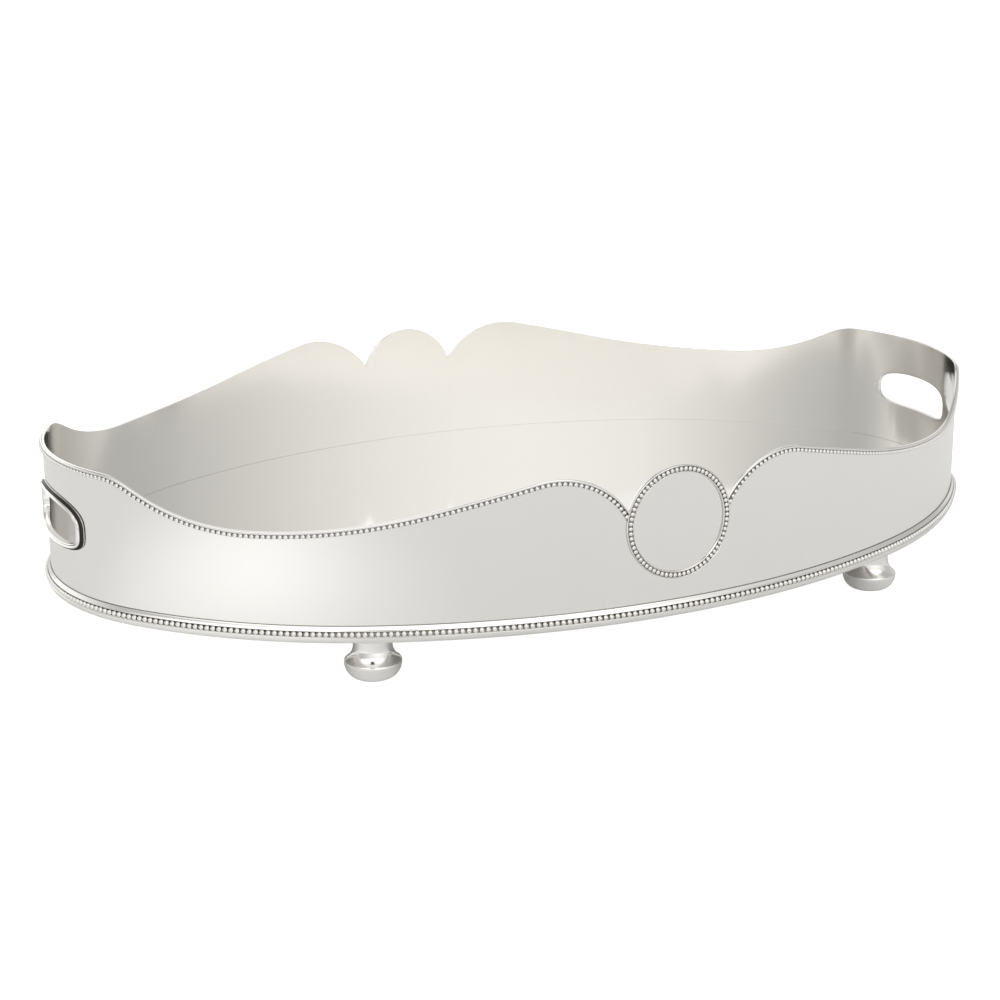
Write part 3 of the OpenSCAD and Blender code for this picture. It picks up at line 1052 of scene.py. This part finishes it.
@dataclass
class RimBeading:
    """The oval wire, the channel and the beads along the wall's top edge."""

    plan: Plan
    edge: TopEdge
    floor_z: float
    start_s: float = 28.2 * MM
    wire_h: float = 1.6 * MM
    wire_t: float = 0.9 * MM
    bead: BeadSize = BeadSize(1.3 * MM, 0.9 * MM, 1.1 * MM)
    bead_off: float = 0.95 * MM
    bead_depth: float = 2.3 * MM
    bead_pitch: float = 2.9 * MM
    clear_share: float = 0.6

    def grading(self) -> list[tuple[float, float]]:
        """Steps along the edge, shorter by the medallion."""
        quarter = self.plan.quarter
        return [(quarter - 72 * MM, 2.8 * MM), (quarter, 1.0 * MM)]

    def sweep(self, name: str, section: Section, first: float, last: float) -> bpy.types.Object:
        """Runs a section along the edge, at its depth below the edge.

        Args:
            name: The piece's name.
            section: The section's corners, as distances outside the wall and depths.
            first: Station where it starts.
            last: Station where it ends.

        Returns:
            The piece, closed at its ends.
        """
        points = [self.plan.place(first, off, -depth) for off, depth in section]
        piece = draw_chain(name, points, closed=True)
        self.plan.carry(piece, self.plan.turns(first, last, self.grading()))
        for vertex in piece.data.vertices:
            s = self.plan.quarter - self.plan.from_end(vertex.co)
            vertex.co.z = self.floor_z + self.edge.line(s, -vertex.co.z)
        weld(piece)
        return piece

    def wire(self, name: str, first: float, last: float, node: str) -> None:
        """The smooth oval wire at the very edge."""
        sides = 12
        section = [
            (
                self.wire_t / 2 * (1 + math.cos(2 * math.pi * i / sides)),
                self.wire_h / 2 * (1 - math.sin(2 * math.pi * i / sides)),
            )
            for i in range(sides)
        ]
        piece = self.sweep(name, section, first, last)
        contrast = 2.5

        def underside(co: Vector) -> float:
            """1 along the wire's underside, where it meets the beads, and 0 above 3/5 of it:
            tarnish and painted shade under the wire.
            """
            edge_h = self.edge.line(self.plan.quarter - self.plan.from_end(co), 0.0)
            return (self.floor_z + edge_h - co.z) / self.wire_h * contrast + 1.0 - contrast

        note(piece, "recess", underside)
        smooth(piece, TRIM_CREASE)
        dress(piece, TRIM, Slot.BEADED, node)

    def channel(self, name: str, first: float, last: float, node: str) -> None:
        """The thin backing strip that the beads stand on, with a fine lower lip."""
        millimetres = [
            (0.0, 0.8), (0.4, 0.8), (0.4, 2.9), (0.7, 3.0), (0.8, 3.15), (0.7, 3.3), (0.0, 3.35),
        ]
        section = [(off * MM, depth * MM) for off, depth in millimetres]
        piece = self.sweep(name, section, first, last)
        # The whole strip behind the beads is darkened: tarnish and painted shade
        channel_tarnish_and_shade = 0.6
        note(piece, "recess", lambda co: channel_tarnish_and_shade)
        smooth(piece, TRIM_CREASE)
        dress(piece, TRIM, Slot.BEADED, node)

    def bead_places(self, first: float, last: float) -> list[Matrix]:
        """Places of the beads, evenly spaced along their own line.

        Args:
            first: Station where the row may start.
            last: Station where it may end.

        Returns:
            One place for each bead.
        """
        plan, fine = self.plan, 4000
        stations = np.linspace(first, last, fine)
        clear = self.edge.medallion_r + self.bead.along * self.clear_share
        kept, heights = [], []
        for station in stations:
            s = plan.quarter - plan.folded(station)[0]
            height = self.edge.line(s, self.bead_depth)
            if math.hypot(s, height - self.edge.medallion_h) > clear:
                kept.append(station)
                heights.append(height)
        points = np.array([plan.place(u, self.bead_off, h) for u, h in zip(kept, heights)])
        gone = np.concatenate([[0.0], np.cumsum(np.linalg.norm(np.diff(points, axis=0), axis=1))])
        count = round(gone[-1] / self.bead_pitch)
        wanted = np.linspace(0.0, gone[-1], count + 1)
        size = self.bead.matrix
        places = []
        for station, height in zip(np.interp(wanted, gone, kept), np.interp(wanted, gone, heights)):
            at = plan.frame_at(float(station), self.bead_off, self.floor_z + float(height))
            places.append(at @ size)
        return places

    def build(self, facing: Facing, bead: bpy.types.Object) -> None:
        """Builds one end's strip, from the front medallion to the back one.

        Args:
            facing: The end, left or right.
            bead: The bead, a unit across its radius.
        """
        middle = self.plan.middle(facing)
        if facing is Facing.RIGHT:
            middle += 4 * self.plan.quarter
        reach = self.plan.quarter - self.start_s
        first, last = middle - reach, middle + reach
        side = facing.name.lower()
        node = f"rim_beading_{side}"
        self.wire(f"rim_wire_{side}", first, last, node)
        self.channel(f"rim_channel_{side}", first, last, node)
        row = copy_to(f"rim_bead_row_{side}", bead, self.bead_places(first, last))
        dress(row, BEADS, Slot.BEADED, node)


@dataclass
class MedallionRing:
    """A flat ring with a wire at each edge and a row of beads between them."""

    plan: Plan
    radius: float
    middle_z: float
    band: float = 4.0 * MM
    bead: BeadSize = BeadSize(1.22 * MM, 0.9 * MM, 1.2 * MM)
    bead_off: float = 0.95 * MM
    beads: int = 68

    def section(self) -> Section:
        """The ring's section, as distances in from its edge and out of the wall."""
        millimetres = [
            (0.0, 0.0), (0.0, 0.8), (0.15, 1.1), (0.4, 1.22), (0.65, 1.05), (0.75, 0.4),
            (3.25, 0.4), (3.35, 1.05), (3.6, 1.22), (3.85, 1.1), (4.0, 0.8), (4.0, 0.0),
        ]
        return [(across * MM, out * MM) for across, out in millimetres]

    def recess(self, at: Vector) -> float:
        """How much tarnish and painted shade the ring gets: some in its channel and at its back
        against the wall, none on its wires.
        """
        back, channel_floor = 0.3 * MM, 0.5 * MM
        if back < -at.y < channel_floor:
            return 0.6
        return 0.5 if -at.y < back else 0.0

    def build(self, facing: Facing, bead: bpy.types.Object) -> None:
        """Spins the ring flat, bends it on to the wall and sets the beads.

        Args:
            facing: The side, front or back.
            bead: The bead, a unit across its radius.
        """
        side = facing.name.lower()
        node = f"medallion_ring_{side}"
        top = self.middle_z + self.radius
        points = [Vector((0.0, -out, top - across)) for across, out in self.section()]
        piece = draw_chain(f"medallion_band_{side}", points, closed=True)
        with editing(piece):
            bpy.ops.mesh.select_all(action="SELECT")
            centre = (0.0, 0.0, self.middle_z)
            bpy.ops.mesh.spin(steps=120, angle=2 * math.pi, center=centre, axis=(0, 1, 0))
        weld(piece, close=False)
        note(piece, "recess", self.recess)
        self.plan.wrap(piece, facing)
        smooth(piece, TRIM_CREASE)
        dress(piece, TRIM, Slot.BEADED, node)
        row = copy_to(f"medallion_bead_row_{side}", bead, self.bead_places())
        self.plan.wrap(row, facing)
        dress(row, BEADS, Slot.BEADED, node)

    def bead_places(self) -> list[Matrix]:
        """Places of the beads on the flat ring."""
        middle_r = self.radius - self.band / 2
        places = []
        for i in range(self.beads):
            angle = 2 * math.pi * i / self.beads
            x, z = middle_r * math.cos(angle), self.middle_z + middle_r * math.sin(angle)
            turned = Matrix.Rotation(math.pi / 2 - angle, 4, "Y")
            at = Matrix.Translation((x, -self.bead_off, z))
            places.append(at @ turned @ self.bead.matrix)
        return places


@dataclass
class HandleBezel:
    """The reeded ring round a hand slot, with a lip that lines the slot."""

    plan: Plan
    slot: HandSlot
    points: int = 112

    def section(self) -> list[tuple[float, float, float]]:
        """The ring's section: growth at the ends, growth above and below, distance out."""
        millimetres = [
            (0.0, 0.0, -WALL_T), (0.0, 0.0, 1.6), (0.1, 0.08, 2.05), (0.35, 0.25, 2.3),
            (0.65, 0.45, 2.2), (0.85, 0.6, 1.8), (0.95, 0.68, 1.5), (1.1, 0.8, 1.8),
            (1.4, 1.05, 2.45), (1.85, 1.4, 2.8), (2.35, 1.8, 2.7), (2.7, 2.1, 2.2),
            (2.88, 2.25, 1.5), (3.0, 2.35, 1.1), (3.15, 2.45, 1.3), (3.45, 2.65, 1.55),
            (3.8, 2.9, 1.4), (4.05, 3.08, 0.95),
            (BEZEL_ENDS, BEZEL_BAND, 0.4), (BEZEL_ENDS, BEZEL_BAND, 0.0),
            (BEZEL_LIP, BEZEL_LIP, 0.0), (BEZEL_LIP, BEZEL_LIP, -WALL_T),
        ]
        return [(ends * MM, band * MM, out * MM) for ends, band, out in millimetres]

    def loop(self, ends: float, band: float, out: float) -> list[Vector]:
        """One loop of the flat ring, round the slot at a growth and a distance out."""
        outline = self.slot.grown(ends, band).outline(self.points)
        return [Vector((x, -out, z)) for x, z in outline]

    def build(self, facing: Facing) -> None:
        """Extrudes the ring loop by loop, closes it and bends it on to the wall.

        Args:
            facing: The end, left or right.
        """
        side = facing.name.lower()
        bpy.ops.object.select_all(action="DESELECT")
        bpy.ops.mesh.primitive_circle_add(vertices=self.points, radius=self.slot.half_l)
        piece = bpy.context.object
        piece.name = piece.data.name = f"handle_bezel_ring_{side}"
        settle(piece)
        loops = [self.loop(*corner) for corner in self.section()]
        with editing(piece):
            bpy.ops.mesh.select_all(action="SELECT")
            place_selected(piece, loops[0])
            for places in loops[1:]:
                bpy.ops.mesh.extrude_region_move(TRANSFORM_OT_translate={"value": (0.0, 0.0, 0.0)})
                place_selected(piece, places)
            bpy.ops.mesh.select_mode(type="EDGE")
            bpy.ops.mesh.select_all(action="DESELECT")
            bpy.ops.mesh.select_non_manifold(use_wire=False, use_multi_face=False, use_verts=False)
            bpy.ops.mesh.bridge_edge_loops()
        weld(piece, close=False)
        groove, lip = 1.6 * MM, 0.2 * MM
        slot = self.slot

        def grooves(co: Vector) -> float:
            """1 in the grooves between the reeds and beside the wall: tarnish and painted shade."""
            edge_z = slot.top_at(co.x) if co.z > slot.middle_z else slot.low_at(co.x)
            outside = abs(co.z - edge_z) > lip or abs(co.x) > slot.half_l
            return 1.0 if outside and 0.0 < -co.y < groove else 0.0

        note(piece, "recess", grooves)
        self.plan.wrap(piece, facing)
        smooth(piece, TRIM_CREASE)
        dress(piece, TRIM, Slot.MOULDING, f"handle_bezel_{side}")


@dataclass
class Foot:
    """A turned bun foot with its collar, the pad under the floor and the stud."""

    radius: float
    neck_top: float
    collar_r: float
    collar_t: float
    pad_r: float
    floor_under: float
    stud_low: float
    stud_high: float
    stud_r: float = 2.5 * MM
    edge_z: float = 8.5 * MM
    flat_r: float = 8.0 * MM
    neck_r: float = 10.1 * MM
    neck_z: float = 17.5 * MM
    lip_in: float = 0.5 * MM
    lip_rise: float = 1.0 * MM
    steps: int = 96

    def bun_section(self) -> Section:
        """Bowl, rounded edge, hollow flare and neck, as radii and heights."""
        rows = 9
        quarter = [math.pi / 2 * i / rows for i in range(rows + 1)]
        spread = self.radius - self.flat_r
        bowl = [
            (self.flat_r + spread * math.sin(a), self.edge_z * (1 - math.cos(a))) for a in quarter
        ]
        lip_r, lip_z = self.radius - self.lip_in, self.edge_z + self.lip_rise
        lip = [
            (self.radius - inward * MM, self.edge_z + rise * MM)
            for inward, rise in ((0.06, 0.4), (0.22, 0.75))
        ]
        slant = 2 * math.atan2(lip_r - self.neck_r, self.neck_z - lip_z)
        hollow = (self.neck_z - lip_z) / math.sin(slant)
        flare = [
            (
                self.neck_r + hollow * (1 - math.cos(slant * (1 - i / rows))),
                self.neck_z - hollow * math.sin(slant * (1 - i / rows)),
            )
            for i in range(rows + 1)
        ]
        neck = (self.neck_r, self.neck_top)
        bore = [(self.stud_r, self.neck_top), (self.stud_r, self.stud_low), (0.0, self.stud_low)]
        return [(0.0, 0.0), *bowl, *lip, *flare, neck, *bore]

    def collar_section(self) -> Section:
        """A thin disc with a rounded rim, bored for the stud."""
        low, high, soft, rows = self.neck_top, self.neck_top + self.collar_t, 0.7 * MM, 6
        fullness = 0.7
        rim = []
        for i in range(rows + 1):
            angle = math.pi * (i / rows - 0.5)
            rise = math.copysign(abs(math.sin(angle)) ** fullness, angle)
            radius = self.collar_r - soft * (1 - math.cos(angle))
            rim.append((radius, (low + high) / 2 + rise * (high - low) / 2))
        return [(self.stud_r, low), *rim, (self.stud_r, high)]

    def pad_section(self) -> Section:
        """A boss with a chamfered rim and a fillet of solder under the floor."""
        low, high, cut = self.neck_top + self.collar_t, self.floor_under, 0.6 * MM
        fillet = [
            (self.pad_r + out * MM, high - drop * MM)
            for out, drop in ((0.0, 1.2), (0.25, 0.45), (0.9, 0.0))
        ]
        rim = [(self.pad_r - cut, low), (self.pad_r, low + cut)]
        return [(self.stud_r, low), *rim, *fillet, (self.stud_r, high)]

    def stud_section(self) -> Section:
        """A threaded rod, with one groove for each turn of its thread."""
        pitch, depth = 0.8 * MM, 0.35 * MM
        turns = int((self.stud_high - self.stud_low) / pitch) - 1
        section = [(0.0, self.stud_low), (self.stud_r - depth, self.stud_low)]
        for i in range(turns):
            z = self.stud_low + pitch * (i + 0.5)
            section += [(self.stud_r, z + pitch / 2), (self.stud_r - depth, z + pitch)]
        return [*section, (self.stud_r - depth, self.stud_high), (0.0, self.stud_high)]

    def turn(self, name: str, section: Section, ring: bool, degrees: float) -> bpy.types.Object:
        """Turns a section round the upright axis.

        Args:
            name: The piece's name.
            section: Radii and heights, from the bottom up.
            ring: Whether the section is closed and stands clear of the axis.
            degrees: Edges sharper than this stay crisp.

        Returns:
            The piece, round the Z axis.
        """
        points = [Vector((radius, 0.0, z)) for radius, z in section]
        piece = draw_chain(name, points, closed=ring)
        with editing(piece):
            bpy.ops.mesh.select_all(action="SELECT")
            bpy.ops.mesh.spin(steps=self.steps, angle=2 * math.pi, center=(0, 0, 0), axis=(0, 0, 1))
        weld(piece, close=False)
        smooth(piece, degrees)
        return piece


@dataclass
class Feet:
    """The four feet, placed by the frame's nodes."""

    foot: Foot

    def models(self) -> list[tuple[bpy.types.Object, str, MetalFinish, Slot]]:
        """The turned pieces of one foot, with the frame's node names that they stand for."""
        foot = self.foot
        bun = foot.turn("bun", foot.bun_section(), False, TURNED_CREASE)
        # Darker over the neck's top millimetre, under the collar
        note(bun, "recess", lambda co: (co.z - foot.neck_top) / MM + 1.0)
        collar = foot.turn("collar", foot.collar_section(), True, TRIM_CREASE)
        pad = foot.turn("boss", foot.pad_section(), True, TURNED_CREASE)
        # Darker towards the floor's underside, at the top of the solder fillet
        note(pad, "recess", lambda co: (co.z - foot.floor_under) / MM + 1.2)
        return [
            (bun, "foot", TURNED, Slot.TURNED),
            (collar, "collar", TURNED, Slot.TURNED),
            (pad, "pad", BRASS, Slot.BRASS),
        ]

    def build(self) -> None:
        """Turns each piece once and copies it to the four corners."""
        corners = [f"{y}_{x}" for y in ("front", "back") for x in ("left", "right")]
        places = []
        for corner in corners:
            low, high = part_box(f"foot_{corner}")
            middle = (low + high) / 2
            places.append(Matrix.Translation((middle.x, middle.y, 0.0)))
        for model, node, finish, slot in self.models():
            for corner, place in zip(corners, places):
                only(model)
                bpy.ops.object.duplicate()
                piece = bpy.context.object
                piece.name = piece.data.name = f"{model.name}_{corner}"
                piece.matrix_world = place
                settle(piece)
                dress(piece, finish, slot, f"{node}_{corner}")
            bpy.data.objects.remove(model)
        stud = self.foot.turn("stud", self.foot.stud_section(), False, THREAD_CREASE)
        stud_tarnish = 0.3
        note(stud, "recess", lambda co: stud_tarnish)
        studs = copy_to("threaded_studs", stud, places)
        smooth(studs, THREAD_CREASE)
        bpy.data.objects.remove(stud)
        dress(studs, BRASS, Slot.BRASS, "foot_studs")


# --- Studio ------------------------------------------------------------------------------


@dataclass(frozen=True)
class Studio:
    """Plain pale floor, soft light and the camera."""

    half_l: float
    floor_z: float
    floor_size: float = 12.0
    floor_tone: float = 0.82
    floor_glow: float = 0.08
    floor_glow_seen: float = 0.8
    pool_glow: float = 0.34
    pool_at: Point = (-0.36, -0.22, 0.0)
    pool_r: float = 0.26
    low_bearing: float = math.radians(-88)
    low_dark: float = 0.56
    low_bright: float = 1.15
    behind: float = 0.24
    behind_bearing: float = math.radians(112)
    behind_reach: Ramp = (0.5, 1.0)
    high_dark: float = 0.5
    high_bright: float = 1.5
    high_reach: Ramp = (0.1, 0.5)
    high_z: Ramp = (0.42, 0.6)
    overhead: float = 0.95
    overhead_z: Ramp = (0.75, 0.92)
    gap: float = 0.03
    gap_width: Ramp = (0.13, 0.09)
    gap_low_z: Ramp = (0.70, 0.76)
    gap_high_z: Ramp = (0.95, 0.90)
    gap_ahead: Ramp = (0.0, 0.1)
    sky_tint: tuple[float, float, float, float] = (1.0, 0.99, 0.975, 1.0)
    stand: Point = (-1.84974, -3.78602, 1.31136)
    yaw: float = 0.44151
    pitch: float = 0.29860
    roll: float = -0.008226
    lens: float = 75.29
    sensor: float = 36.0

    def floor(self) -> None:
        """A large plain floor, lit from within like a product table, most at the front left."""
        bpy.ops.object.select_all(action="DESELECT")
        bpy.ops.mesh.primitive_plane_add(size=self.floor_size)
        ground = bpy.context.object
        ground.name = "studio_floor"
        paint = bpy.data.materials.new("studio_paint")
        paint.use_nodes = True
        tree = paint.node_tree
        shader = tree.nodes["Principled BSDF"]
        tone = self.floor_tone
        shader.inputs["Base Color"].default_value = (tone, tone, tone, 1.0)
        shader.inputs["Roughness"].default_value = 1.0
        shader.inputs["Specular IOR Level"].default_value = 0.0
        shader.inputs["Emission Color"].default_value = (1.0, 1.0, 1.0, 1.0)
        seen = tree.nodes.new("ShaderNodeLightPath").outputs["Is Camera Ray"]
        base = math_node(tree, "MULTIPLY_ADD", seen, self.floor_glow_seen)
        base.node.inputs[2].default_value = self.floor_glow
        place = tree.nodes.new("ShaderNodeTexCoord").outputs["Object"]
        away = tree.nodes.new("ShaderNodeVectorMath")
        away.operation = "DISTANCE"
        away.inputs[1].default_value = self.pool_at
        tree.links.new(place, away.inputs[0])
        pool = self.step(tree, away.outputs["Value"], (self.pool_r, 0.0))
        glow = math_node(tree, "ADD", base, math_node(tree, "MULTIPLY", pool, self.pool_glow))
        tree.links.new(glow, shader.inputs["Emission Strength"])
        ground.data.materials.append(paint)

    def stripe(self, tree: bpy.types.NodeTree, x: object, y: object, z: object) -> object:
        """Mask of the dark gap between the lights, above the camera's own place.

        Args:
            tree: The world's nodes.
            x: Socket with the direction's X.
            y: Socket with the direction's Y.
            z: Socket with the direction's Z.

        Returns:
            Socket that is 1 in the gap.
        """
        away = math.atan2(self.stand[1], self.stand[0])
        aside = self.toward(tree, x, y, away + math.pi / 2)
        ahead = self.toward(tree, x, y, away)
        mask = self.step(tree, math_node(tree, "ABSOLUTE", aside, 0.0), self.gap_width)
        for value, ramp in ((z, self.gap_low_z), (z, self.gap_high_z), (ahead, self.gap_ahead)):
            mask = math_node(tree, "MULTIPLY", mask, self.step(tree, value, ramp))
        return mask

    def toward(self, tree: bpy.types.NodeTree, x: object, y: object, bearing: float) -> object:
        """How far a direction points to a bearing, as a socket."""
        first = math_node(tree, "MULTIPLY", x, math.cos(bearing))
        return math_node(tree, "ADD", first, math_node(tree, "MULTIPLY", y, math.sin(bearing)))

    def step(self, tree: bpy.types.NodeTree, value: object, ramp: Ramp) -> object:
        """A soft step from 0 at the ramp's first value to 1 at its second, as a socket."""
        node = tree.nodes.new("ShaderNodeMapRange")
        node.interpolation_type = "SMOOTHSTEP"
        node.inputs["From Min"].default_value, node.inputs["From Max"].default_value = ramp
        tree.links.new(value, node.inputs["Value"])
        return node.outputs["Result"]

    def blend_tone(self, tree: bpy.types.NodeTree, mask: object, a: object, b: object) -> object:
        """Two tones mixed by a mask, as a socket."""
        span = math_node(tree, "SUBTRACT", b, a)
        return math_node(tree, "ADD", a, math_node(tree, "MULTIPLY", span, mask))

    def sky(self) -> None:
        """Soft light all round: brighter in front and behind, darker past the two ends."""
        world = bpy.data.worlds.new("studio_light")
        world.use_nodes = True
        bpy.context.scene.world = world
        tree = world.node_tree
        split = tree.nodes.new("ShaderNodeSeparateXYZ")
        place = tree.nodes.new("ShaderNodeTexCoord").outputs["Generated"]
        tree.links.new(place, split.inputs[0])
        x, y, z = split.outputs
        low_way = self.toward(tree, x, y, self.low_bearing)
        low_mask = math_node(tree, "MULTIPLY", low_way, low_way)
        low = self.blend_tone(tree, low_mask, self.low_dark, self.low_bright)
        behind_way = self.toward(tree, x, y, self.behind_bearing)
        behind = self.step(tree, behind_way, self.behind_reach)
        low = math_node(tree, "ADD", low, math_node(tree, "MULTIPLY", behind, self.behind))
        front = math.atan2(self.stand[1], self.stand[0])
        high_mask = self.step(tree, self.toward(tree, x, y, front), self.high_reach)
        high = self.blend_tone(tree, high_mask, self.high_dark, self.high_bright)
        tone = self.blend_tone(tree, self.step(tree, z, self.high_z), low, high)
        tone = self.blend_tone(tree, self.step(tree, z, self.overhead_z), tone, self.overhead)
        tone = self.blend_tone(tree, self.stripe(tree, x, y, z), tone, self.gap)
        seen = tree.nodes.new("ShaderNodeLightPath").outputs["Is Camera Ray"]
        tone = self.blend_tone(tree, seen, tone, 1.0)
        back = tree.nodes["Background"]
        back.inputs["Color"].default_value = self.sky_tint
        tree.links.new(tone, back.inputs["Strength"])

    def camera(self) -> None:
        """The camera, above the front left, looking down across the tray."""
        sy, cy = math.sin(self.yaw), math.cos(self.yaw)
        sp, cp = math.sin(self.pitch), math.cos(self.pitch)
        ahead = Vector((cp * sy, cp * cy, -sp))
        level = Vector((cy, -sy, 0.0))
        up = level.cross(ahead)
        right = level * math.cos(self.roll) + up * math.sin(self.roll)
        over = up * math.cos(self.roll) - level * math.sin(self.roll)
        data = bpy.data.cameras.new("camera")
        data.lens, data.sensor_width = self.lens, self.sensor
        data.clip_start, data.clip_end = 0.01, 100.0
        camera = bpy.data.objects.new("camera", data)
        bpy.context.scene.collection.objects.link(camera)
        turned = Matrix((right, over, -ahead)).transposed().to_4x4()
        at = Vector(self.stand) * self.half_l + Vector((0.0, 0.0, self.floor_z))
        camera.matrix_world = Matrix.Translation(at) @ turned
        bpy.context.scene.camera = camera

    def build(self) -> None:
        """Sets up floor, light and camera."""
        self.floor()
        self.sky()
        self.camera()
        bpy.context.scene.view_settings.view_transform = "Standard"


def model_bead() -> bpy.types.Object:
    """Models one bead: a ball of radius 1 at the origin, darker towards its back.

    Returns:
        The bead, which faces -Y.
    """
    bpy.ops.object.select_all(action="DESELECT")
    bpy.ops.mesh.primitive_uv_sphere_add(segments=8, ring_count=6, radius=1.0)
    bead = bpy.context.object
    bead.name = "bead"
    with editing(bead):
        bpy.ops.mesh.select_all(action="SELECT")
        bpy.ops.mesh.normals_make_consistent(inside=False)
    # Darker towards the back, where the bead sits against its backing: tarnish and painted shade
    back_tarnish_and_shade = 0.7
    note(bead, "recess", lambda co: back_tarnish_and_shade * co.y)
    return bead


def main() -> None:
    """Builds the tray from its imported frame, then the studio."""
    logging.basicConfig(level=logging.INFO, format="%(name)s: %(message)s")
    floor_low, floor_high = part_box("floor_plate")
    beads_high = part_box("base_beading")[1]
    ring_low, ring_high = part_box("medallion_ring_front")
    bezel_low, bezel_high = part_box("handle_bezel_right")
    collar_low, collar_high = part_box("collar_front_left")
    pad_low, pad_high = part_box("pad_front_left")
    foot_low, foot_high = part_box("foot_front_left")
    stud_low, stud_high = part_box("foot_studs")
    floor_z = floor_high.z

    plan = Plan(floor_high.x, floor_high.y)
    medallion_r = (ring_high.z - ring_low.z) / 2
    edge = TopEdge(medallion_r=medallion_r, medallion_h=(ring_high.z + ring_low.z) / 2 - floor_z)
    ends, band, lip = (size * MM for size in (BEZEL_ENDS, BEZEL_BAND, BEZEL_LIP))
    middle_z = floor_z + SLOT_H * MM
    slot = HandSlot(
        (bezel_high.y - bezel_low.y) / 2 - ends,
        bezel_high.z - band - middle_z,
        middle_z - bezel_low.z - band,
        middle_z,
    )
    bead = model_bead()

    Floor(plan, floor_z, floor_high.z - floor_low.z).build()
    Gallery(plan, edge, slot.grown(lip, lip), floor_z).build()
    base = BaseMoulding(plan, floor_z, beads_high.x - floor_high.x)
    base.build()
    base.string_beads(bead)
    rim = RimBeading(plan, edge, floor_z)
    ring = MedallionRing(plan, medallion_r, floor_z + edge.medallion_h)
    bezel = HandleBezel(plan, slot)
    for facing in (Facing.LEFT, Facing.RIGHT):
        rim.build(facing, bead)
        bezel.build(facing)
    for facing in (Facing.FRONT, Facing.BACK):
        ring.build(facing, bead)
    bpy.data.objects.remove(bead)
    Feet(
        Foot(
            radius=(foot_high.x - foot_low.x) / 2,
            neck_top=foot_high.z,
            collar_r=(collar_high.x - collar_low.x) / 2,
            collar_t=collar_high.z - collar_low.z,
            pad_r=(pad_high.x - pad_low.x) / 2,
            floor_under=floor_low.z,
            stud_low=stud_low.z,
            stud_high=stud_high.z,
        )
    ).build()
    Studio(plan.half_l, floor_z).build()


if __name__ == "__main__":
    main()
